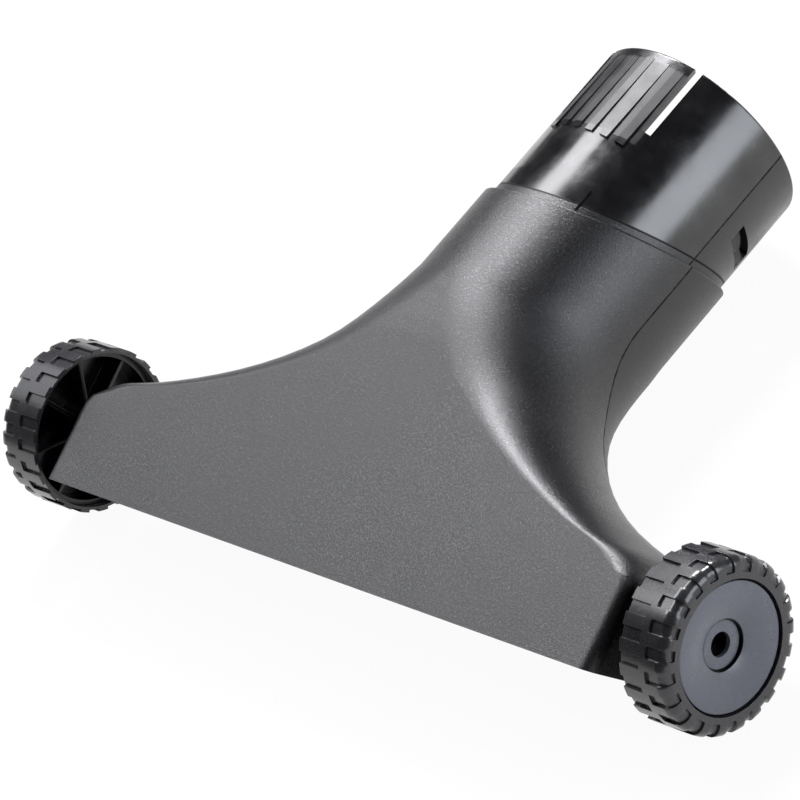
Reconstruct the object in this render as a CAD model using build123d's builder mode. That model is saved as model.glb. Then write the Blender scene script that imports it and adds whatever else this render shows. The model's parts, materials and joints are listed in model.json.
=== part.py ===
from build123d import *
from math import asin, atan2, cos, degrees, hypot, radians, sin, sqrt, tan
import os

# Wide floor nozzle with two wheels, lying on its back as it comes to rest.
# Stored frame: +X along the axles, +Y from the mouth to the hose end, +Z up, base centred under the part.
# Sizes are given in the nozzle's own axes: across, back from the front face, up from the mouth.

# Mouth, end walls and flare
mouth_width = 221.0
mouth_depth = 29.0
mouth_tilt = 11.6
mouth_corner = 4.0
wall = 2.6
end_wall_height = 21.0
shoulder_round = 12.0
shoulder_slope = 14.2
shoulder_handle = 34.4
neck_handle = 29.0
rear_wall_height = 42.3
rear_low_handle = 4.0
rear_high_handle = 17.0
corner_start = 26.0
corner_growth = 0.6
shoulder_steps = 6
flare_steps = 16
flare_spacing = 1.5

# Collar and hose tube
collar_step = 1.55
collar_reach = 126.7
collar_cut = 22.9
collar_length = 29.1
collar_round = 0.8
roundness = 0.98
tube_radius = 32.0
tube_wall = 2.6
tube_lean = 19.9
tube_foot_back = 6.9
tube_length = 169.6
tip_round = 0.9
socket_depth = 56.0
socket_step = 0.6
duct_lead = 0.35

# Latch tab with its slots, grip bars and pad, and the two latch windows
slot_angle = 30.8
slot_width = 2.7
slot_length = 24.1
bar_count = 6
bar_pitch = 9.4
bar_width = 2.6
bar_height = 0.6
bar_fade = 0.1
bar_start = 138.6
bar_end = 166.8
pad_angle = 57.0
pad_height = 0.4
pad_end = 122.6
window_angle = 116.0
window_width = 14.4
window_length = 6.2
window_end = 148.3

# Wheel tyre and its two rows of pockets
wheel_radius = 23.65
wheel_back = 18.4
wheel_up = 20.2
wheel_start = 118.5
tyre_width = 15.9
tyre_lip = 1.6
tyre_flange = 1.9
tyre_shoulder = 3.2
side_radius = 17.9
pocket_count = 22
pocket_share = 0.5
pocket_depth = 0.75
inner_row_width = 7.0
row_rib = 2.0
pocket_reach = 0.85
tread_phase = -8.7

# Wheel hub
hub_wall = 1.5
drum_setback = 2.6
disc_rise = 1.2
groove_width = 0.6
dish_depth = 2.3
dish_bulge = 0.5
hub_ring_radius = 6.7
hub_ring_sink = 0.9
hub_boss_radius = 7.6
rib_count = 8
rib_thickness = 1.2
rib_setback = 1.5
recess_radius = 3.3
recess_depth = 7.6

# Axle screw, thrust washer and the boss on the end wall
shoulder_radius = 2.5
bore_clearance = 0.05
thread_radius = 2.0
thread_length = 8.5
thread_gap = 0.3
screw_head_radius = 3.1
screw_head_height = 2.2
drive_width = 0.9
drive_depth = 1.2
end_play = 0.2
boss_radius = 6.5
boss_length = 7.1
washer_radius = 6.0
washer_thickness = 0.9

half_mouth = mouth_width / 2
lean = radians(tube_lean)
cut = radians(collar_cut)
collar_tilt = collar_cut - tube_lean
collar_radius = tube_radius + collar_step
socket_radius = tube_radius - tube_wall
bore_radius = socket_radius - socket_step


def tube_point(reach, radial=0.0):
    """Back and up of a point beside the tube axis; radial is towards the rear."""
    return (
        tube_foot_back + reach * sin(lean) + radial * cos(lean),
        reach * cos(lean) - radial * sin(lean),
    )


# At rest the two wheels and the lower rear end of the collar touch the floor.
rest_reach = collar_reach - collar_length + collar_radius * tan(cut)
rest_back, rest_up = tube_point(rest_reach, collar_radius)
rest_span = hypot(rest_back - wheel_back, rest_up - wheel_up)
rest = atan2(rest_back - wheel_back, rest_up - wheel_up) - asin(wheel_radius / rest_span)
tip_back, tip_up = tube_point(tube_length - tip_round, tube_radius - tip_round)
tip_y = tip_back * sin(rest) + tip_up * cos(rest) + tip_round
shift_y = -tip_y / 2
shift_z = wheel_radius + wheel_back * cos(rest) - wheel_up * sin(rest)


def place(across, back, up):
    """A point of the nozzle's own axes in the stored frame."""
    return Vector(
        across,
        back * sin(rest) + up * cos(rest) + shift_y,
        up * sin(rest) - back * cos(rest) + shift_z,
    )


def station(back, up, tilt):
    """A plane across the nozzle that rises to the rear by tilt degrees; its y points to the rear."""
    angle = rest + radians(tilt)
    return Plane(origin=place(0, back, up), x_dir=(1, 0, 0), z_dir=(0, cos(angle), sin(angle)))


def on_bezier(a, b, c, d, t):
    """One coordinate of a cubic Bezier curve."""
    return (1 - t) ** 3 * a + 3 * (1 - t) ** 2 * t * b + 3 * (1 - t) * t**2 * c + t**3 * d


def bezier_at(heights, values, height):
    """The value where a rising Bezier curve reaches a height, found by halving."""
    low, high = 0.0, 1.0
    for _ in range(40):
        middle = (low + high) / 2
        if on_bezier(*heights, middle) < height:
            low = middle
        else:
            high = middle
    return on_bezier(*values, low)


# Top of the flare: an oval section square to the mouth's depth, on which the collar stands
top_back, top_up = tube_point(collar_reach - collar_length)
half_top = collar_radius / cos(cut)
top_tilt = radians(collar_tilt)
top_front = (
    top_back - half_top * cos(top_tilt),
    top_up - half_top * sin(top_tilt),
)
top_rear = (
    top_back + half_top * cos(top_tilt),
    top_up + half_top * sin(top_tilt),
)
mouth_rear_up = mouth_depth * tan(radians(mouth_tilt))


def front_back(up):
    """How far the front face leans back at a height: flat, then bending into the collar's front."""
    bend = top_front[1] - 2 * top_front[0] / tan(lean)
    return 0.0 if up < bend else (up - bend) ** 2 / (top_front[1] - bend) * tan(lean) / 2


def rear_back(up):
    """How far back the rear face stands at a height."""
    if up <= rear_wall_height:
        return mouth_depth
    high = rear_high_handle
    heights = (
        rear_wall_height,
        rear_wall_height + rear_low_handle,
        top_rear[1] - high * cos(lean),
        top_rear[1],
    )
    backs = (mouth_depth, mouth_depth, top_rear[0] - high * sin(lean), top_rear[0])
    return bezier_at(heights, backs, up)


def half_width(up):
    """Half width of the front outline: end wall, shoulder round, then a curve up to the collar."""
    slope = radians(shoulder_slope)
    round_x = half_mouth - shoulder_round
    knee = (round_x + shoulder_round * sin(slope), end_wall_height + shoulder_round * cos(slope))
    if up <= end_wall_height:
        return half_mouth
    if up <= knee[1]:
        return round_x + sqrt(shoulder_round**2 - (up - end_wall_height) ** 2)
    if up >= top_front[1]:
        return collar_radius
    reach = shoulder_handle
    heights = (knee[1], knee[1] + reach * sin(slope), top_front[1] - neck_handle, top_front[1])
    widths = (knee[0], knee[0] - reach * cos(slope), collar_radius, collar_radius)
    return bezier_at(heights, widths, up)


def flare_section(up, inset):
    """Plane and outline of the flare at one height of its front face, set in by a wall."""
    step = 0.05
    fall = (half_width(up - step) - half_width(up + step)) / (2 * step)
    steep = sqrt(1 + fall**2)
    width = half_width(up) - inset / steep
    up = up - inset * fall / steep
    front = front_back(up)
    rear_up = mouth_rear_up + (top_rear[1] - mouth_rear_up) * up / top_front[1]
    rear = rear_back(rear_up)
    depth = hypot(rear - front, rear_up - up)
    grown = max(0.0, (up - corner_start) / (top_front[1] - corner_start)) ** corner_growth
    corner = mouth_corner + (roundness * half_top - mouth_corner) * grown
    corner = min(corner, roundness * depth / 2) - inset
    narrow = 1 + (collar_radius / half_top - 1) * grown
    tilt = degrees(atan2(rear_up - up, rear - front))
    plane = station((front + rear) / 2, (up + rear_up) / 2, tilt)
    return plane, 2 * width, depth - 2 * inset, corner * narrow, corner


def flare_heights():
    """Front heights of the sections: the end wall, equal turns of the shoulder, then the flare."""
    heights = [0.0]
    for turn in range(shoulder_steps + 1):
        angle = radians(90 - shoulder_slope) * turn / shoulder_steps
        heights.append(end_wall_height + shoulder_round * sin(angle))
    knee = heights[-1]
    for step in range(1, flare_steps):
        heights.append(knee + (top_front[1] - knee) * (step / flare_steps) ** flare_spacing)
    return heights


def oval(plane, width, depth, corner_x, corner_y):
    """A closed outline on a plane, with elliptical corners."""
    x, y = width / 2, depth / 2
    flat = x - corner_x
    line = y - corner_y
    with BuildSketch(plane) as outline:
        with BuildLine():
            Line((-flat, -y), (flat, -y))
            EllipticalCenterArc((flat, -line), corner_x, corner_y, -90, arc_size=90)
            Line((x, -line), (x, line))
            EllipticalCenterArc((flat, line), corner_x, corner_y, 0, arc_size=90)
            Line((flat, y), (-flat, y))
            EllipticalCenterArc((-flat, line), corner_x, corner_y, 90, arc_size=90)
            Line((-x, line), (-x, -line))
            EllipticalCenterArc((-flat, -line), corner_x, corner_y, 180, arc_size=90)
        make_face()
    return outline.sketch


def station_at(reach):
    """A plane through the tube axis, parallel to the collar's slanting rim."""
    return station(*tube_point(reach), collar_tilt)


def tube_side(angle):
    """A plane along the tube: its x runs out at an angle from the front, its y along the tube."""
    outward = front * cos(radians(angle)) + Vector(1, 0, 0) * sin(radians(angle))
    return Plane(origin=tube_base.origin, x_dir=outward, z_dir=outward.cross(tube_base.z_dir))


def wheel_side(angle):
    """A plane through the wheel's axis: its x runs along the axle, its y out at an angle."""
    turned = rest + radians(angle - 90)
    return Plane(origin=wheel_centre, x_dir=(1, 0, 0), z_dir=(0, -sin(turned), cos(turned)))


def axle_face(across):
    """A plane square to the axle, at a distance across from the middle."""
    return Plane(origin=place(across, wheel_back, wheel_up), x_dir=(0, cos(rest), sin(rest)), z_dir=(1, 0, 0))


def ring(across, outer_radius, inner_radius, length):
    """A plain ring or, with no inner radius, a disc around the axle."""
    with BuildPart() as solid:
        with BuildSketch(axle_face(across)):
            Circle(outer_radius)
            if inner_radius:
                Circle(inner_radius, mode=Mode.SUBTRACT)
        extrude(amount=length)
    return solid.part


tube_base = station(*tube_point(0), -tube_lean)
front = -tube_base.y_dir
wheel_centre = place(0, wheel_back, wheel_up)
wheel_axis = Axis(wheel_centre, (1, 0, 0))
flare_top = collar_reach - collar_length
top_corner = roundness * half_top

# Places along the axle, out from the middle
boss_end = half_mouth + boss_length
washer_end = boss_end + washer_thickness
hub_start = washer_end + end_play
tyre_end = wheel_start + tyre_width
plate_end = tyre_end - tyre_flange
disc_face = plate_end + disc_rise
hub_ring_face = disc_face - dish_depth - hub_ring_sink
plate_start = hub_ring_face - hub_wall
recess_floor = hub_ring_face - recess_depth
head_start = recess_floor + end_play
drum_radius = wheel_radius - tyre_lip
drum_start = wheel_start + drum_setback
bearing_radius = shoulder_radius + bore_clearance

# Outer flare, from the mouth up to the collar
with BuildPart() as flare:
    sections = [oval(*flare_section(up, 0)) for up in flare_heights()]
    collar_size = (2 * collar_radius, 2 * half_top, roundness * collar_radius)
    collar_foot = oval(station_at(flare_top), *collar_size, top_corner)
    sections.append(collar_foot)
    loft(sections, ruled=True)

# Duct inside the flare, run out past the mouth
with BuildPart() as duct:
    duct_half = bore_radius + duct_lead
    duct_size = (2 * duct_half, 2 * duct_half / cos(cut), roundness * duct_half)
    duct_corner = roundness * duct_half / cos(cut)
    sections = [oval(*flare_section(up, wall)) for up in flare_heights()]
    sections.append(oval(station_at(flare_top), *duct_size, duct_corner))
    loft(sections, ruled=True)
    extrude(sections[0], amount=-wall)

# Collar with its slanting rim rounded
with BuildPart() as collar:
    extrude(collar_foot, amount=collar_length, dir=tube_base.z_dir)
    rim = collar.faces().sort_by(Axis(tube_base.origin, station_at(0).z_dir))[-1]
    fillet(rim.edges(), radius=collar_round)

# Plain tube that takes the hose end, rooted inside the collar
with BuildPart() as tube:
    with BuildSketch(tube_base):
        Circle(tube_radius)
    extrude(amount=tube_length)
    split(bisect_by=station_at(collar_reach - collar_length / 2), keep=Keep.TOP)
    tip = tube.faces().sort_by(Axis(tube_base.origin, tube_base.z_dir))[-1]
    fillet(tip.edges(), radius=tip_round)

# Bore of the collar, and the wider socket that takes the hose end up to a small step
with BuildPart() as bore:
    with BuildSketch(tube_base):
        Circle(bore_radius)
    extrude(amount=tube_length)
    split(bisect_by=station_at(flare_top), keep=Keep.TOP)
    with BuildSketch(tube_base.offset(tube_length - socket_depth)):
        Circle(socket_radius)
    extrude(amount=socket_depth + tube_wall)

# Axle boss on one end wall
with BuildPart() as boss:
    add(ring(half_mouth - wall / 2, boss_radius, 0, boss_length + wall / 2))

# The nozzle body is one moulding: flare, collar, tube, latch tab and axle bosses.
with BuildPart() as nozzle_body:
    add(flare.part)
    add(collar.part)
    add(tube.part)
    add(boss.part)
    add(boss.part.mirror(Plane.YZ))
    add(duct.part, mode=Mode.SUBTRACT)
    add(bore.part, mode=Mode.SUBTRACT)

    # Pilot holes for the axle screws
    pilot = ring(boss_end - thread_length - thread_gap, thread_radius, 0, thread_length + wall)
    add(pilot, mode=Mode.SUBTRACT)
    add(pilot.mirror(Plane.YZ), mode=Mode.SUBTRACT)

    # Raised pad under the latch tab
    with BuildSketch(tube_side(-pad_angle / 2)):
        with Locations((tube_radius + pad_height, pad_end)):
            pad_thickness = pad_height + tube_wall / 2
            pad_length = pad_end - collar_reach + collar_length / 2
            Rectangle(pad_thickness, pad_length, align=(Align.MAX, Align.MAX))
    revolve(axis=Axis(tube_base.origin, tube_base.z_dir), revolution_arc=pad_angle)

    # Wedge-shaped grip bars on the latch tab
    for bar in range(bar_count):
        with BuildSketch(tube_side((bar - (bar_count - 1) / 2) * bar_pitch)):
            with BuildLine():
                Polyline(
                    (tube_radius - tube_wall / 2, bar_start),
                    (tube_radius + bar_height, bar_start),
                    (tube_radius + bar_fade, bar_end),
                    (tube_radius - tube_wall / 2, bar_end),
                    close=True,
                )
            make_face()
        extrude(amount=bar_width / 2, both=True)

    # Slots beside the latch tab, and the latch windows
    for side in (-1, 1):
        with BuildSketch(tube_side(side * slot_angle)):
            with Locations((tube_radius, tube_length)):
                Rectangle(4 * tube_wall, 2 * slot_length)
        extrude(amount=slot_width / 2, both=True, mode=Mode.SUBTRACT)
        with BuildSketch(tube_side(side * window_angle)):
            with Locations((tube_radius, window_end - window_length / 2)):
                Rectangle(4 * tube_wall, window_length)
        extrude(amount=window_width / 2, both=True, mode=Mode.SUBTRACT)

# Tyre: a tread band with a flange that closes the outer side
with BuildPart() as tyre_pockets:
    pocket_angle = pocket_share * 360 / pocket_count
    shoulder_start = tyre_end - tyre_shoulder
    shoulder_centre = (shoulder_start, wheel_radius - tyre_shoulder)
    floor_radius = wheel_radius - pocket_depth
    clear_radius = wheel_radius + pocket_depth
    outer_row_start = wheel_start + inner_row_width + row_rib
    for pocket in range(pocket_count):
        phase = tread_phase + pocket * 360 / pocket_count
        with BuildSketch(wheel_side(phase)):
            with BuildLine():
                Line((shoulder_start, floor_radius), (outer_row_start, floor_radius))
                Line((outer_row_start, floor_radius), (outer_row_start, clear_radius))
                Line((outer_row_start, clear_radius), (tyre_end + pocket_depth, clear_radius))
                Line(
                    (tyre_end + pocket_depth, clear_radius),
                    (tyre_end + pocket_depth, shoulder_centre[1] - pocket_reach),
                )
                Line(
                    (tyre_end + pocket_depth, shoulder_centre[1] - pocket_reach),
                    (tyre_end - pocket_depth, shoulder_centre[1] - pocket_reach),
                )
                Line(
                    (tyre_end - pocket_depth, shoulder_centre[1] - pocket_reach),
                    (tyre_end - pocket_depth, shoulder_centre[1]),
                )
                RadiusArc(
                    (tyre_end - pocket_depth, shoulder_centre[1]),
                    (shoulder_start, floor_radius),
                    -(tyre_shoulder - pocket_depth),
                )
            make_face()
        with BuildSketch(wheel_side(phase + 180 / pocket_count)):
            with Locations((wheel_start + inner_row_width, wheel_radius)):
                row_size = (inner_row_width + pocket_depth, 2 * pocket_depth)
                Rectangle(*row_size, align=(Align.MAX, Align.CENTER))
    revolve(axis=wheel_axis, revolution_arc=pocket_angle)

with BuildPart() as right_wheel_tyre:
    with BuildSketch(wheel_side(90)):
        with BuildLine():
            Polyline(
                (wheel_start, drum_radius),
                (wheel_start, wheel_radius),
                (shoulder_start, wheel_radius),
            )
            RadiusArc((shoulder_start, wheel_radius), (tyre_end, shoulder_centre[1]), tyre_shoulder)
            Polyline(
                (tyre_end, shoulder_centre[1]),
                (tyre_end, side_radius),
                (plate_end, side_radius),
                (plate_end, drum_radius),
                (wheel_start, drum_radius),
            )
        make_face()
    revolve(axis=wheel_axis)
    add(tyre_pockets.part, mode=Mode.SUBTRACT)

# Hub: a drum with a dished disc, radial ribs and a bearing boss
with BuildPart() as right_wheel_hub:
    with BuildSketch(wheel_side(90)):
        with BuildLine():
            disc_radius = side_radius - groove_width
            dish_start = (disc_face, disc_radius)
            dish_end = (disc_face - dish_depth, hub_ring_radius)
            Polyline(
                (plate_start, bearing_radius),
                (plate_start, drum_radius - hub_wall),
                (drum_start, drum_radius - hub_wall),
                (drum_start, drum_radius),
                (plate_end, drum_radius),
                (plate_end, disc_radius),
                dish_start,
            )
            SagittaArc(dish_start, dish_end, dish_bulge)
            Polyline(
                dish_end,
                (hub_ring_face, hub_ring_radius),
                (hub_ring_face, bearing_radius),
                (plate_start, bearing_radius),
            )
        make_face()
    revolve(axis=wheel_axis)
    add(ring(hub_start, hub_boss_radius, bearing_radius, plate_start - hub_start))
    with BuildSketch(axle_face(drum_start + rib_setback)):
        rib_reach = drum_radius - hub_wall / 2 - (hub_boss_radius - hub_wall)
        with PolarLocations(hub_boss_radius - hub_wall + rib_reach / 2, rib_count):
            Rectangle(rib_reach, rib_thickness)
    extrude(amount=plate_start + hub_wall / 2 - drum_start - rib_setback)
    add(ring(recess_floor, recess_radius, 0, recess_depth), mode=Mode.SUBTRACT)
    add(ring(hub_start, bearing_radius, 0, recess_depth + tyre_width), mode=Mode.SUBTRACT)

# Shoulder screw that is the wheel's axle
with BuildPart() as right_axle_screw:
    add(ring(boss_end - thread_length, thread_radius, 0, thread_length))
    add(ring(boss_end, shoulder_radius, 0, head_start - boss_end))
    add(ring(head_start, screw_head_radius, 0, screw_head_height))
    with BuildSketch(axle_face(head_start + screw_head_height)):
        Rectangle(2 * thread_radius, drive_width)
        Rectangle(drive_width, 2 * thread_radius)
    extrude(amount=-drive_depth, mode=Mode.SUBTRACT)

# Thrust washer between the boss and the hub
with BuildPart() as right_axle_washer:
    add(ring(boss_end, washer_radius, bearing_radius, washer_thickness))

# The left wheel and its fixings mirror the right ones.
with BuildPart() as left_wheel_tyre:
    mirror(right_wheel_tyre.part, about=Plane.YZ)

with BuildPart() as left_wheel_hub:
    mirror(right_wheel_hub.part, about=Plane.YZ)

with BuildPart() as left_axle_screw:
    mirror(right_axle_screw.part, about=Plane.YZ)

with BuildPart() as left_axle_washer:
    mirror(right_axle_washer.part, about=Plane.YZ)

os.makedirs("parts", exist_ok=True)

nozzle_body.part.label = "nozzle_body"
export_step(nozzle_body.part, "parts/nozzle_body.step")

right_wheel_tyre.part.label = "right_wheel_tyre"
export_step(right_wheel_tyre.part, "parts/right_wheel_tyre.step")

right_wheel_hub.part.label = "right_wheel_hub"
export_step(right_wheel_hub.part, "parts/right_wheel_hub.step")

right_axle_screw.part.label = "right_axle_screw"
export_step(right_axle_screw.part, "parts/right_axle_screw.step")

right_axle_washer.part.label = "right_axle_washer"
export_step(right_axle_washer.part, "parts/right_axle_washer.step")

left_wheel_tyre.part.label = "left_wheel_tyre"
export_step(left_wheel_tyre.part, "parts/left_wheel_tyre.step")

left_wheel_hub.part.label = "left_wheel_hub"
export_step(left_wheel_hub.part, "parts/left_wheel_hub.step")

left_axle_screw.part.label = "left_axle_screw"
export_step(left_axle_screw.part, "parts/left_axle_screw.step")

left_axle_washer.part.label = "left_axle_washer"
export_step(left_axle_washer.part, "parts/left_axle_washer.step")
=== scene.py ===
import json
import math

import bpy
from bpy.props import FloatProperty, FloatVectorProperty, PointerProperty
from mathutils import Matrix, Vector


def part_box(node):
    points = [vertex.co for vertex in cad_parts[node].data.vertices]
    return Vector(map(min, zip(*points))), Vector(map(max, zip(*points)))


bl_info = {
    "name": "Wide floor nozzle",
    "version": (1, 0, 0),
    "blender": (4, 5, 0),
    "location": "3D View > Sidebar > Nozzle",
    "description": "Finishes and stage for a wide vacuum floor nozzle with two wheels",
    "category": "Object",
}

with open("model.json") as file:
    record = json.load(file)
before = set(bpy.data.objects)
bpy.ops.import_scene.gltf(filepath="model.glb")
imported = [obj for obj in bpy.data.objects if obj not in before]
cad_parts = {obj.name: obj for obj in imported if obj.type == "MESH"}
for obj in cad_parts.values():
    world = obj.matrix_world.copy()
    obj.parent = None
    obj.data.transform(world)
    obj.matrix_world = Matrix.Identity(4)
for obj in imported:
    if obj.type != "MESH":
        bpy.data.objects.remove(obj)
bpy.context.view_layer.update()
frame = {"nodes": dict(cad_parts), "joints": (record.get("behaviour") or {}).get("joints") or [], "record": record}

MM = 0.001
SIDES = ("right", "left")
SHARP_ANGLE = math.radians(35)


# Frame of the nozzle, in metres: the tube's axis, the front direction and the wheels' axis

bore_mount = frame["record"]["mounts"][0]
tube_point = Vector(bore_mount["pos_m"])
tube_along = Vector(bore_mount["axis"]).normalized()
across = Vector((1, 0, 0))
tube_front = across.cross(tube_along)
wheel_point = Vector(frame["joints"][0]["pos_m"])
wheel_point.x = 0
tube_tip = tube_point + tube_along * (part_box("nozzle_body")[1].y - tube_point.y) / tube_along.y


# Settings that a user would change

class NozzleBodySettings(bpy.types.PropertyGroup):
    """Colours and sizes of the body's finishes."""

    grained_colour: FloatVectorProperty(
        name="Grained plastic", description="Colour of the textured flare and collar",
        subtype="COLOR", size=3, min=0, max=1, default=(0.0080, 0.0080, 0.0094))
    tube_colour: FloatVectorProperty(
        name="Polished plastic", description="Colour of the smooth hose tube",
        subtype="COLOR", size=3, min=0, max=1, default=(0.0040, 0.0040, 0.0046))
    rear_colour: FloatVectorProperty(
        name="Rear plastic", description="Colour of the plainer half behind the parting line",
        subtype="COLOR", size=3, min=0, max=1, default=(0.0065, 0.0060, 0.0057))
    grain_size: FloatProperty(
        name="Grain size", description="Width of one pebble of the mould's grain",
        subtype="DISTANCE", unit="LENGTH", default=0.52 * MM)
    grain_height: FloatProperty(
        name="Grain height", description="Depth of the mould's grain",
        subtype="DISTANCE", unit="LENGTH", default=0.060 * MM)
    collar_reach: FloatProperty(
        name="Collar reach", description="Distance of the collar's rim from the tip along the tube's axis",
        subtype="DISTANCE", unit="LENGTH", default=42.9 * MM)
    collar_cut: FloatProperty(
        name="Collar cut", description="Slant of the collar's rim from square",
        subtype="ANGLE", unit="ROTATION", default=math.radians(22.9))
    seam_back: FloatProperty(
        name="Seam back", description="Distance of the parting line behind the tube's axis",
        subtype="DISTANCE", unit="LENGTH", default=0.7 * MM)
    seam_bend: FloatProperty(
        name="Seam bend", description="How much further back the parting line runs at the flare's waist",
        subtype="DISTANCE", unit="LENGTH", default=5.6 * MM)
    seam_bend_start: FloatProperty(
        name="Seam bend start", description="Distance from the tip where the parting line starts to bend",
        subtype="DISTANCE", unit="LENGTH", default=68 * MM)
    seam_bend_end: FloatProperty(
        name="Seam bend end", description="Distance from the tip where the parting line runs straight again",
        subtype="DISTANCE", unit="LENGTH", default=98 * MM)
    seam_width: FloatProperty(
        name="Seam width", description="Width of the parting line",
        subtype="DISTANCE", unit="LENGTH", default=0.5 * MM)
    tab_reach: FloatProperty(
        name="Tab reach", description="Distance from the tip over which the latch tab is less shiny",
        subtype="DISTANCE", unit="LENGTH", default=31 * MM)
    tab_half_angle: FloatProperty(
        name="Tab half angle", description="Angle round the tube from the middle of the tab to its slots",
        subtype="ANGLE", unit="ROTATION", default=math.radians(30.33))
    tab_lip: FloatProperty(
        name="Tab lip", description="Width of the smoother band between the tab's bars and its tip",
        subtype="DISTANCE", unit="LENGTH", default=5.5 * MM)
    edge_round: FloatProperty(
        name="Edge round", description="Radius that breaks the moulding's sharp edges",
        subtype="DISTANCE", unit="LENGTH", default=0.22 * MM)


class NozzleWheelSettings(bpy.types.PropertyGroup):
    """Colours and sizes of the wheels' finishes."""

    tyre_colour: FloatVectorProperty(
        name="Tyre", description="Colour of the tread and its flange",
        subtype="COLOR", size=3, min=0, max=1, default=(0.024, 0.024, 0.0265))
    hub_colour: FloatVectorProperty(
        name="Hub", description="Colour of the dished disc",
        subtype="COLOR", size=3, min=0, max=1, default=(0.098, 0.103, 0.124))
    # Near-black painted shade for the drum and ribs behind the disc
    hub_inside_shade_colour: FloatVectorProperty(
        name="Hub inside", description="Colour of the drum and ribs behind the disc",
        subtype="COLOR", size=3, min=0, max=1, default=(0.003, 0.003, 0.0034))
    screw_colour: FloatVectorProperty(
        name="Screw", description="Colour of the axle screw",
        subtype="COLOR", size=3, min=0, max=1, default=(0.05, 0.05, 0.055))
    washer_colour: FloatVectorProperty(
        name="Washer", description="Colour of the thrust washer",
        subtype="COLOR", size=3, min=0, max=1, default=(0.02, 0.02, 0.021))
    disc_radius: FloatProperty(
        name="Disc radius", description="Radius of the disc, whose edge is in shade",
        subtype="DISTANCE", unit="LENGTH", default=17.9 * MM)
    # The line round the screw's recess is painted shade for the recess's wall
    ring_radius: FloatProperty(
        name="Ring radius", description="Radius of the line round the screw's recess",
        subtype="DISTANCE", unit="LENGTH", default=6.7 * MM)
    tread_round: FloatProperty(
        name="Tread round", description="Radius on the edges of the tread blocks",
        subtype="DISTANCE", unit="LENGTH", default=0.22 * MM)
    hub_round: FloatProperty(
        name="Hub round", description="Radius on the edges of the hub",
        subtype="DISTANCE", unit="LENGTH", default=0.15 * MM)


class NozzleStageSettings(bpy.types.PropertyGroup):
    """Camera, lamps and floor."""

    lens: FloatProperty(
        name="Lens", description="Focal length in millimetres on a 36 mm sensor", default=265.77)
    distance: FloatProperty(
        name="Distance", description="From the aim point to the camera",
        subtype="DISTANCE", unit="LENGTH", default=1.5847)
    azimuth: FloatProperty(
        name="Azimuth", description="Camera's turn round the nozzle, from the mouth's side",
        subtype="ANGLE", unit="ROTATION", default=math.radians(61.824))
    elevation: FloatProperty(
        name="Elevation", description="Camera's height over the floor",
        subtype="ANGLE", unit="ROTATION", default=math.radians(34.924))
    roll: FloatProperty(
        name="Roll", description="Camera's turn about its own axis",
        subtype="ANGLE", unit="ROTATION", default=math.radians(-29.136))
    aim: FloatVectorProperty(
        name="Aim", description="Point that the camera looks at",
        subtype="TRANSLATION", unit="LENGTH", size=3, default=(-0.01574, -0.02835, 0.0353))
    floor_size: FloatProperty(
        name="Floor size", description="Side of the floor", subtype="DISTANCE", unit="LENGTH", default=8.0)
    lamp_level: FloatProperty(
        name="Lamp level", description="Brightness of all the lamps together", default=1.0)


# Shader maths

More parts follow.
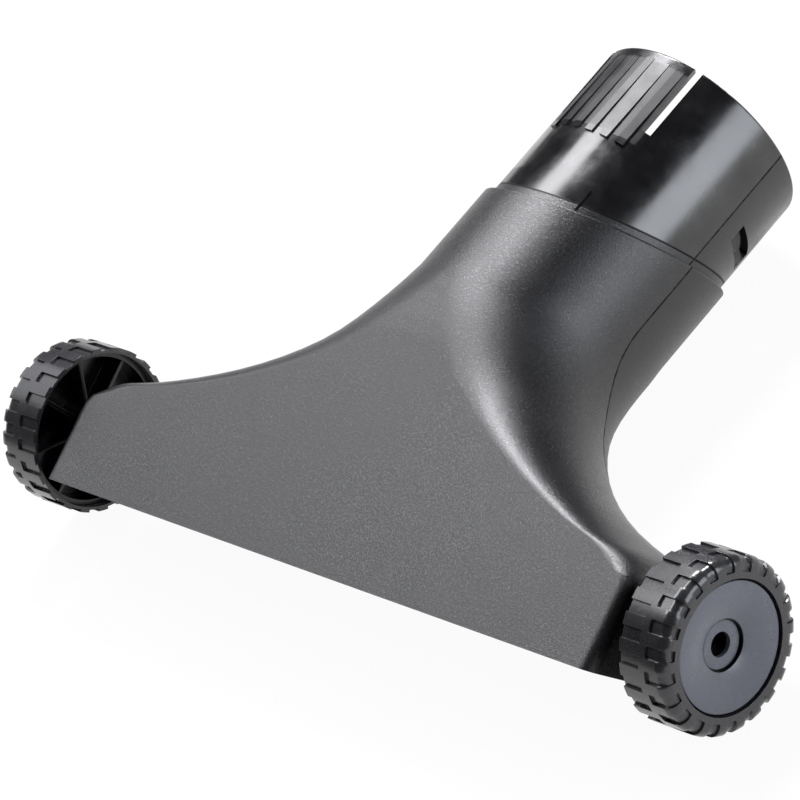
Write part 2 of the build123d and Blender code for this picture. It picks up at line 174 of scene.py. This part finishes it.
class Value:
    """A socket that can be used in Python expressions."""

    def __init__(self, tree, socket):
        self.tree = tree
        self.socket = socket

    def node(self, kind, output=0, settings=None, **inputs):
        """Any node: its type, its settings, then values or links for its sockets, by name or index."""
        made = self.tree.nodes.new(kind)
        for key, value in (settings or {}).items():
            setattr(made, key, value)
        for key, value in inputs.items():
            name = int(key[1:]) if key[0] == "i" and key[1:].isdigit() else key.replace("_", " ")
            target = made.inputs[name]
            if isinstance(value, Value):
                self.tree.links.new(value.socket, target)
            else:
                target.default_value = value
        return Value(self.tree, made.outputs[output])

    def math(self, operation, *values):
        """A Math node."""
        sockets = {f"i{place}": value for place, value in enumerate(values)}
        return self.node("ShaderNodeMath", 0, {"operation": operation}, **sockets)

    def __add__(self, other):
        return self.math("ADD", self, other)

    __radd__ = __add__

    def __sub__(self, other):
        return self.math("SUBTRACT", self, other)

    def __rsub__(self, other):
        return self.math("SUBTRACT", other, self)

    def __mul__(self, other):
        return self.math("MULTIPLY", self, other)

    __rmul__ = __mul__

    def __truediv__(self, other):
        return self.math("DIVIDE", self, other)

    def __rtruediv__(self, other):
        return self.math("DIVIDE", other, self)

    def __neg__(self):
        return self.math("MULTIPLY", self, -1.0)

    def __abs__(self):
        return self.math("ABSOLUTE", self)

    def step(self, low, high):
        """0 below low and 1 above high, smooth between; low may be above high."""
        return self.node("ShaderNodeMapRange", 0, {"interpolation_type": "SMOOTHSTEP"},
                         Value=self, From_Min=low, From_Max=high)

    def dot(self, vector):
        """Dot product with a fixed direction."""
        return self.node("ShaderNodeVectorMath", "Value", {"operation": "DOT_PRODUCT"},
                         i0=self, i1=tuple(vector))

    def moved(self, offset):
        """The vector plus a fixed one."""
        return self.node("ShaderNodeVectorMath", 0, {"operation": "ADD"}, i0=self, i1=tuple(offset))

    def noise(self, size, detail=2.0, roughness=0.5, seed=0.0):
        """Noise from 0 to 1 whose features are about one size wide."""
        place = self.moved((seed, seed * 0.37, -seed * 0.71))
        return self.node("ShaderNodeTexNoise", 0, {"noise_dimensions": "3D"},
                         Vector=place, Scale=1.0 / size, Detail=detail, Roughness=roughness)

    def sway(self, amount):
        """A 0 to 1 noise as a change up or down, of half the amount at most."""
        return (self - 0.5) * amount

    def larger(self, other):
        """The larger of two values."""
        return self.math("MAXIMUM", self, other)

    def cells(self, size):
        """Distance from the middle of irregular cells about one size wide."""
        return self.node("ShaderNodeTexVoronoi", "Distance", None, Vector=self, Scale=1.0 / size)

    def mix_colour(self, first, second):
        """A colour between two, with this value as the factor."""
        def four(colour):
            return colour if isinstance(colour, Value) else (*colour[:3], 1.0)
        return self.node("ShaderNodeMix", 2, {"data_type": "RGBA"},
                         i0=self, i6=four(first), i7=four(second))

    def overlay(self, colour, amount):
        """The colour made lighter where this value is over 0.5 and darker where it is under."""
        grey = self.mix_colour((0, 0, 0), (1, 1, 1))
        settings = {"data_type": "RGBA", "blend_type": "OVERLAY"}
        return self.node("ShaderNodeMix", 2, settings, i0=amount, i6=colour, i7=grey)

    def bump(self, height):
        """A normal from this 0 to 1 height field, of a real height in metres."""
        return self.node("ShaderNodeBump", 0, None, Height=self, Distance=height, Strength=1.0)


def material(name, roughness=0.5, specular=0.5, coat=0.0, coat_roughness=0.1, metallic=0.0):
    """A new material, its shader with the fixed numbers set, and the object's coordinates."""
    made = bpy.data.materials.new(name)
    made.use_nodes = True
    shader = made.node_tree.nodes["Principled BSDF"]
    shader.inputs["Roughness"].default_value = roughness
    shader.inputs["Specular IOR Level"].default_value = specular
    shader.inputs["Coat Weight"].default_value = coat
    shader.inputs["Coat Roughness"].default_value = coat_roughness
    shader.inputs["Metallic"].default_value = metallic
    coordinates = made.node_tree.nodes.new("ShaderNodeTexCoord")
    return made, shader, Value(made.node_tree, coordinates.outputs["Object"])


def feed(shader, **values):
    """Links values to a shader's sockets."""
    for key, value in values.items():
        value.tree.links.new(value.socket, shader.inputs[key.replace("_", " ")])


def dress(node, finish):
    """Gives a CAD node a material."""
    part = frame["nodes"][node]
    part.data.materials.clear()
    part.data.materials.append(finish)
    return part


def soften(part, radius):
    """Welds the CAD mesh, rounds its sharp edges and shades it smooth, without touching its vertices."""
    weld = part.modifiers.new("Weld", "WELD")
    weld.merge_threshold = 0.001 * MM
    bevel = part.modifiers.new("Edge round", "BEVEL")
    bevel.width = radius
    bevel.segments = 2
    bevel.limit_method = "ANGLE"
    bevel.angle_limit = SHARP_ANGLE
    bevel.harden_normals = False
    for polygon in part.data.polygons:
        polygon.use_smooth = True
    normals = part.modifiers.new("Weighted normals", "WEIGHTED_NORMAL")
    normals.keep_sharp = True
    normals.weight = 60


# Finishes

# Dark lines, the parting line and the painted shade at the tube's foot, on the hub's disc edge and round the
# screw's recess, are made near-black and metallic, so that they give hardly any light back
LINE_AND_SHADE_BLACK = (0.004, 0.004, 0.004)
BODY_LINE_METALLIC = 0.95
HUB_SHADE_LINE_METALLIC = 0.9


def scaled(colour, factor):
    """A colour made lighter or darker."""
    return [channel * factor for channel in colour]


def tube_place(place, settings):
    """Where a point is: on the tube (0 or 1), how far over the collar's rim, from the tip and in front."""
    rim_point = tube_tip - tube_along * settings.collar_reach
    rim_normal = Matrix.Rotation(settings.collar_cut, 3, across) @ tube_along
    from_rim = place.moved(-rim_point)
    over_rim = from_rim.dot(rim_normal)
    on_tube = over_rim.step(-0.1 * MM, 0.12 * MM)
    from_tip = -(place.moved(-tube_tip).dot(tube_along))
    return on_tube, over_rim, from_tip, from_rim.dot(tube_front)


def dark_lines(place, settings, behind, on_tube, over_rim):
    """The parting line, with broken flash along it, and painted shade along the joint where the tube leaves the
    collar.
    """
    flash = place.noise(2.2 * MM, detail=3.0, roughness=0.7, seed=11.0).step(0.38, 0.58)
    seam = abs(behind).step(settings.seam_width * 0.75, settings.seam_width * 0.35)
    # Painted shade in the crease where the tube leaves the collar's rim
    joint_shade = on_tube * over_rim.step(0.75 * MM, 0.35 * MM)
    return (seam * (flash * 0.35 + 0.65)).larger(joint_shade * 0.9)


def latch_tab(place, settings, behind, from_tip, in_front):
    """1 on the latch tab between its two slots, and 1 on the smooth lip at its tip."""
    slope_edge = 0.015
    root_edge = 0.3 * MM
    lip_edge = 0.5 * MM
    slot_slope = math.tan(settings.tab_half_angle)
    sideways = abs(place.dot(across) / in_front)
    tab = from_tip.step(settings.tab_reach + root_edge, settings.tab_reach - root_edge)
    tab = tab * sideways.step(slot_slope + slope_edge, slot_slope - slope_edge) * behind.step(0, -5 * MM)
    lip = tab * from_tip.step(settings.tab_lip + lip_edge, settings.tab_lip - lip_edge)
    return tab, lip


def body_finish(settings):
    """One moulding with three finishes: grained flare and collar, polished tube, plainer rear half."""
    finish, shader, place = material("nozzle_plastic", specular=0.7, coat_roughness=0.21)
    on_tube, over_rim, from_tip, in_front = tube_place(place, settings)
    seam = from_tip.step(settings.seam_bend_start, settings.seam_bend_end) * settings.seam_bend
    behind = -in_front - (seam + settings.seam_back)
    rear = behind.step(-0.05 * MM, 0.05 * MM)
    line = dark_lines(place, settings, behind, on_tube, over_rim)
    tab, lip = latch_tab(place, settings, behind, from_tip, in_front)

    # The grain of the mould, which fades behind the parting line and stops at the tube
    pebble_share = 0.25
    grain_contrast = 2.4
    pebbles = place.cells(settings.grain_size).step(0.75, 0.1)
    fine = place.noise(settings.grain_size * 1.3, detail=4.0, roughness=0.85).sway(grain_contrast) + 0.5
    grain = pebbles * pebble_share + fine * (1 - pebble_share)
    grain_amount = (1 - on_tube) * (1 - rear * 0.75)

    # Mottling of the moulding, and flow marks and smudges on the tube
    soft = place.noise(settings.grain_size * 14, detail=2.0)
    cloud = place.noise(18 * MM, detail=4.0, roughness=0.55, seed=3.0)
    flow = place.noise(7 * MM, detail=3.0, roughness=0.6, seed=8.0)
    wide = place.noise(70 * MM, detail=3.0, roughness=0.6, seed=21.0)

    grained_base = rear.mix_colour(settings.grained_colour, settings.rear_colour)
    tube_base = rear.mix_colour(settings.tube_colour, scaled(settings.tube_colour, 2.2))
    # Near-black on the parting line and on the painted shade at the tube's foot
    base = line.mix_colour(on_tube.mix_colour(grained_base, tube_base), LINE_AND_SHADE_BLACK)
    light = grain.sway(grain_amount * 2.0) + cloud.sway(0.35) + wide.sway(0.5) + 0.5
    base = light.overlay(base, 0.85)

    rough_grained = 0.30 + soft.sway(0.06) + wide.sway(0.16) - grain.sway(0.20)
    rough_tube = 0.22 + flow.sway(0.32) + cloud.sway(0.20)
    roughness = rough_grained * (1 - on_tube) + rough_tube * on_tube + rear * 0.10
    roughness = roughness + tab * on_tube * 0.20 - lip * 0.14 + line * 0.3
    smudged = 0.44 + flow.sway(0.5) + cloud.sway(0.9)
    polish = on_tube * (1 - rear * 0.9) * (1 - tab) * smudged * (1 - line)
    feed(shader, Base_Color=base, Roughness=roughness, Coat_Weight=polish,
         Metallic=line * BODY_LINE_METALLIC, Normal=(grain * grain_amount).bump(settings.grain_height))
    return finish


def tyre_finish(settings):
    """Semi-gloss black with faint moulding flow."""
    finish, shader, place = material("tyre_plastic", coat=0.3, coat_roughness=0.12)
    fine = place.noise(0.5 * MM, detail=3.0, roughness=0.6)
    flow = place.noise(6 * MM, detail=3.0, seed=5.0)
    dark, pale = scaled(settings.tyre_colour, 0.75), scaled(settings.tyre_colour, 1.3)
    feed(shader, Base_Color=(flow * 0.6 + fine * 0.4).mix_colour(dark, pale),
         Roughness=0.26 + flow.sway(0.14) + fine.sway(0.08), Normal=fine.bump(0.006 * MM))
    return finish


def hub_finish(settings):
    """Satin grey plastic, slightly cloudy, with near-black painted shade behind the plate, on the disc's edge and
    round the screw's recess.
    """
    finish, shader, place = material("hub_plastic")
    fine = place.noise(0.35 * MM, detail=2.0)
    cloud = place.noise(9 * MM, detail=3.0, seed=2.0)

    # The outer plate of the hub, in front of the ribs; the drum and ribs behind it get near-black painted shade
    plate_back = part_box("right_wheel_hub")[1].x - 4.5 * MM
    on_plate = abs(place.dot(across)).step(plate_back - 0.1 * MM, plate_back + 0.1 * MM)

    from_axle = place.moved(-wheel_point)
    back, up = from_axle.dot((0, 1, 0)), from_axle.dot((0, 0, 1))
    square = back * back + up * up
    radius = square.math("SQRT", square)
    # Painted shade: near-black on the disc's edge and on a ring round the screw's recess
    disc_edge_shade = radius.step(settings.disc_radius - 0.75 * MM, settings.disc_radius - 0.45 * MM)
    recess_shade_line = abs(radius - settings.ring_radius).step(0.40 * MM, 0.15 * MM)
    line = disc_edge_shade.larger(recess_shade_line) * on_plate

    base = cloud.mix_colour(scaled(settings.hub_colour, 0.9), scaled(settings.hub_colour, 1.1))
    # Near-black painted shade behind the plate and in the two lines on it
    base = line.mix_colour(on_plate.mix_colour(settings.hub_inside_shade_colour, base), LINE_AND_SHADE_BLACK)
    feed(shader, Base_Color=base, Metallic=line * HUB_SHADE_LINE_METALLIC,
         Roughness=0.27 + cloud.sway(0.08) + fine.sway(0.05), Normal=fine.bump(0.004 * MM))
    return finish


def screw_finish(settings):
    """Dark oiled steel."""
    finish, shader, place = material("screw_steel", metallic=1.0)
    fine = place.noise(0.2 * MM, detail=2.0)
    base = fine.mix_colour(scaled(settings.screw_colour, 0.7), scaled(settings.screw_colour, 1.4))
    feed(shader, Base_Color=base, Roughness=0.35 + fine * 0.2, Normal=fine.bump(0.004 * MM))
    return finish


def washer_finish(settings):
    """Plain dark plastic."""
    finish, shader, place = material("washer_plastic")
    fine = place.noise(0.4 * MM, detail=2.0)
    base = fine.mix_colour(scaled(settings.washer_colour, 0.8), scaled(settings.washer_colour, 1.2))
    feed(shader, Base_Color=base, Roughness=0.45 + fine * 0.1, Normal=fine.bump(0.004 * MM))
    return finish


# Operators

class NOZZLE_OT_body(bpy.types.Operator):
    """Finish the nozzle body"""

    bl_idname = "nozzle.body"
    bl_label = "Nozzle body"

    def execute(self, context):
        settings = context.scene.nozzle_body
        soften(dress("nozzle_body", body_finish(settings)), settings.edge_round)
        return {"FINISHED"}


class NOZZLE_OT_tyres(bpy.types.Operator):
    """Finish both tyres"""

    bl_idname = "nozzle.tyres"
    bl_label = "Tyres"

    def execute(self, context):
        settings = context.scene.nozzle_wheels
        finish = tyre_finish(settings)
        for side in SIDES:
            soften(dress(f"{side}_wheel_tyre", finish), settings.tread_round)
        return {"FINISHED"}


class NOZZLE_OT_hubs(bpy.types.Operator):
    """Finish both hubs"""

    bl_idname = "nozzle.hubs"
    bl_label = "Hubs"

    def execute(self, context):
        settings = context.scene.nozzle_wheels
        finish = hub_finish(settings)
        for side in SIDES:
            soften(dress(f"{side}_wheel_hub", finish), settings.hub_round)
        return {"FINISHED"}


class NOZZLE_OT_fixings(bpy.types.Operator):
    """Finish the axle screws and washers"""

    bl_idname = "nozzle.fixings"
    bl_label = "Screws and washers"

    def execute(self, context):
        settings = context.scene.nozzle_wheels
        steel = screw_finish(settings)
        plain = washer_finish(settings)
        for side in SIDES:
            soften(dress(f"{side}_axle_screw", steel), settings.hub_round)
            soften(dress(f"{side}_axle_washer", plain), settings.hub_round)
        return {"FINISHED"}


# Lamps and floor

LAMP_DISTANCE = 1.3
LAMP_TARGET = Vector((0, 0, 0.03))
NEAR_WHITE = (0.97, 0.965, 1.0)
COOL_WHITE = (0.95, 0.96, 1.0)
BLUE_WHITE = (0.89, 0.93, 1.0)
WORLD_STRENGTH = 0.04
FLOOR_WHITE = 0.95


def lamp(name, direction, size, radiance, tint):
    """A soft lamp that faces the nozzle; its width runs along Y beside the nozzle, else along X."""
    outward = Vector(direction).normalized()
    beside = abs(outward.x) > 0.8
    width_axis = Vector((0, 1, 0)) if beside else Vector((1, 0, 0))
    across_lamp = (width_axis - outward * outward.dot(width_axis)).normalized()
    light = bpy.data.lights.new(name, "AREA")
    light.shape = "RECTANGLE"
    light.size, light.size_y = size
    light.energy = radiance * math.pi * size[0] * size[1]
    light.color = tint
    made = bpy.data.objects.new(name, light)
    axes = Matrix((across_lamp, outward.cross(across_lamp), outward)).transposed().to_4x4()
    made.matrix_world = Matrix.Translation(LAMP_TARGET + outward * LAMP_DISTANCE) @ axes
    bpy.context.scene.collection.objects.link(made)


def floor_finish():
    """A pale floor: it shows white to the camera and in reflections and keeps the nozzle's shadow."""
    finish, shader, place = material("floor_white", roughness=0.9, specular=0.0)
    rays = place.tree.nodes.new("ShaderNodeLightPath")
    seen = Value(place.tree, rays.outputs["Is Camera Ray"])
    glossy = Value(place.tree, rays.outputs["Is Glossy Ray"])
    clear = Value(place.tree, rays.outputs["Is Transmission Ray"])
    mottle = place.noise(0.4, detail=2.0)
    base = mottle.mix_colour((0.91, 0.91, 0.91), (0.93, 0.93, 0.93))
    white = place.node("ShaderNodeEmission", 0, None, Color=(1, 1, 1, 1), Strength=1.0)
    feed(shader, Base_Color=base)
    mixed = place.node("ShaderNodeMixShader", 0, None,
                       i0=seen.larger(glossy).larger(clear) * FLOOR_WHITE,
                       i1=Value(place.tree, shader.outputs[0]), i2=white)
    output = place.tree.nodes["Material Output"]
    place.tree.links.new(mixed.socket, output.inputs["Surface"])
    return finish


def place_camera(scene, settings):
    """The camera, at its distance from the aim point and turned about its own axis by the roll."""
    outward = Vector((
        math.cos(settings.elevation) * math.sin(settings.azimuth),
        -math.cos(settings.elevation) * math.cos(settings.azimuth),
        math.sin(settings.elevation)))
    right = Vector((0, 0, 1)).cross(outward).normalized()
    camera_x = Matrix.Rotation(settings.roll, 3, outward) @ right
    axes = Matrix((camera_x, outward.cross(camera_x), outward)).transposed().to_4x4()
    camera = bpy.data.objects.new("camera", bpy.data.cameras.new("camera"))
    camera.data.lens = settings.lens
    camera.data.sensor_width = 36.0
    camera.data.clip_end = 50.0
    camera.matrix_world = Matrix.Translation(Vector(settings.aim) + outward * settings.distance) @ axes
    scene.collection.objects.link(camera)
    scene.camera = camera


def lay_floor(scene, half):
    """A square floor at height 0."""
    corner_points = [(-half, -half, 0), (half, -half, 0), (half, half, 0), (-half, half, 0)]
    sheet = bpy.data.meshes.new("floor")
    sheet.from_pydata(corner_points, [], [(0, 1, 2, 3)])
    floor = bpy.data.objects.new("floor", sheet)
    floor.data.materials.append(floor_finish())
    scene.collection.objects.link(floor)


def hang_lamps(level):
    """The studio's soft lamps, each named for the side it stands on."""
    lamp("overhead_strip", (-0.46, 0.36, 0.81), size=(0.46, 1.0), radiance=7.8 * level, tint=NEAR_WHITE)
    lamp("back_soft", (-0.35, 0.61, 0.71), size=(0.38, 0.42), radiance=38.0 * level, tint=NEAR_WHITE)
    lamp("front_soft", (-0.47, -0.16, 0.87), size=(0.42, 0.5), radiance=10.6 * level, tint=NEAR_WHITE)
    lamp("left_soft", (-0.88, -0.02, 0.48), size=(0.8, 0.8), radiance=1.9 * level, tint=COOL_WHITE)
    lamp("right_soft", (0.90, 0.33, 0.20), size=(0.9, 0.8), radiance=5.2 * level, tint=BLUE_WHITE)


def light_world(scene):
    """A faint white light from all round."""
    world = bpy.data.worlds.new("studio")
    world.use_nodes = True
    background = world.node_tree.nodes["Background"]
    background.inputs["Color"].default_value = (1, 1, 1, 1)
    background.inputs["Strength"].default_value = WORLD_STRENGTH
    scene.world = world


class NOZZLE_OT_stage(bpy.types.Operator):
    """Make the camera, the lamps, the floor and the background"""

    bl_idname = "nozzle.stage"
    bl_label = "Stage"

    def execute(self, context):
        scene = context.scene
        settings = scene.nozzle_stage
        scene.view_settings.view_transform = "Standard"
        place_camera(scene, settings)
        lay_floor(scene, settings.floor_size / 2)
        hang_lamps(settings.lamp_level)
        light_world(scene)
        return {"FINISHED"}


class NOZZLE_PT_panel(bpy.types.Panel):
    """Lists the steps that dress the nozzle"""

    bl_idname = "NOZZLE_PT_panel"
    bl_label = "Wide floor nozzle"
    bl_space_type = "VIEW_3D"
    bl_region_type = "UI"
    bl_category = "Nozzle"

    def draw(self, context):
        for operator in STEPS:
            self.layout.operator(operator.bl_idname)
        for group in GROUPS:
            settings = getattr(context.scene, group)
            for name in settings.bl_rna.properties.keys():
                if name not in ("rna_type", "name"):
                    self.layout.prop(settings, name)


STEPS = (NOZZLE_OT_body, NOZZLE_OT_tyres, NOZZLE_OT_hubs, NOZZLE_OT_fixings, NOZZLE_OT_stage)
GROUPS = {
    "nozzle_body": NozzleBodySettings,
    "nozzle_wheels": NozzleWheelSettings,
    "nozzle_stage": NozzleStageSettings,
}


def register():
    for settings in GROUPS.values():
        bpy.utils.register_class(settings)
    for name, settings in GROUPS.items():
        setattr(bpy.types.Scene, name, PointerProperty(type=settings))
    for operator in STEPS:
        bpy.utils.register_class(operator)
    bpy.utils.register_class(NOZZLE_PT_panel)


def unregister():
    bpy.utils.unregister_class(NOZZLE_PT_panel)
    for operator in reversed(STEPS):
        bpy.utils.unregister_class(operator)
    for name, settings in GROUPS.items():
        delattr(bpy.types.Scene, name)
        bpy.utils.unregister_class(settings)


def main():
    register()
    for operator in STEPS:
        group, step = operator.bl_idname.split(".")
        getattr(getattr(bpy.ops, group), step)()


if __name__ == "__main__":
    main()
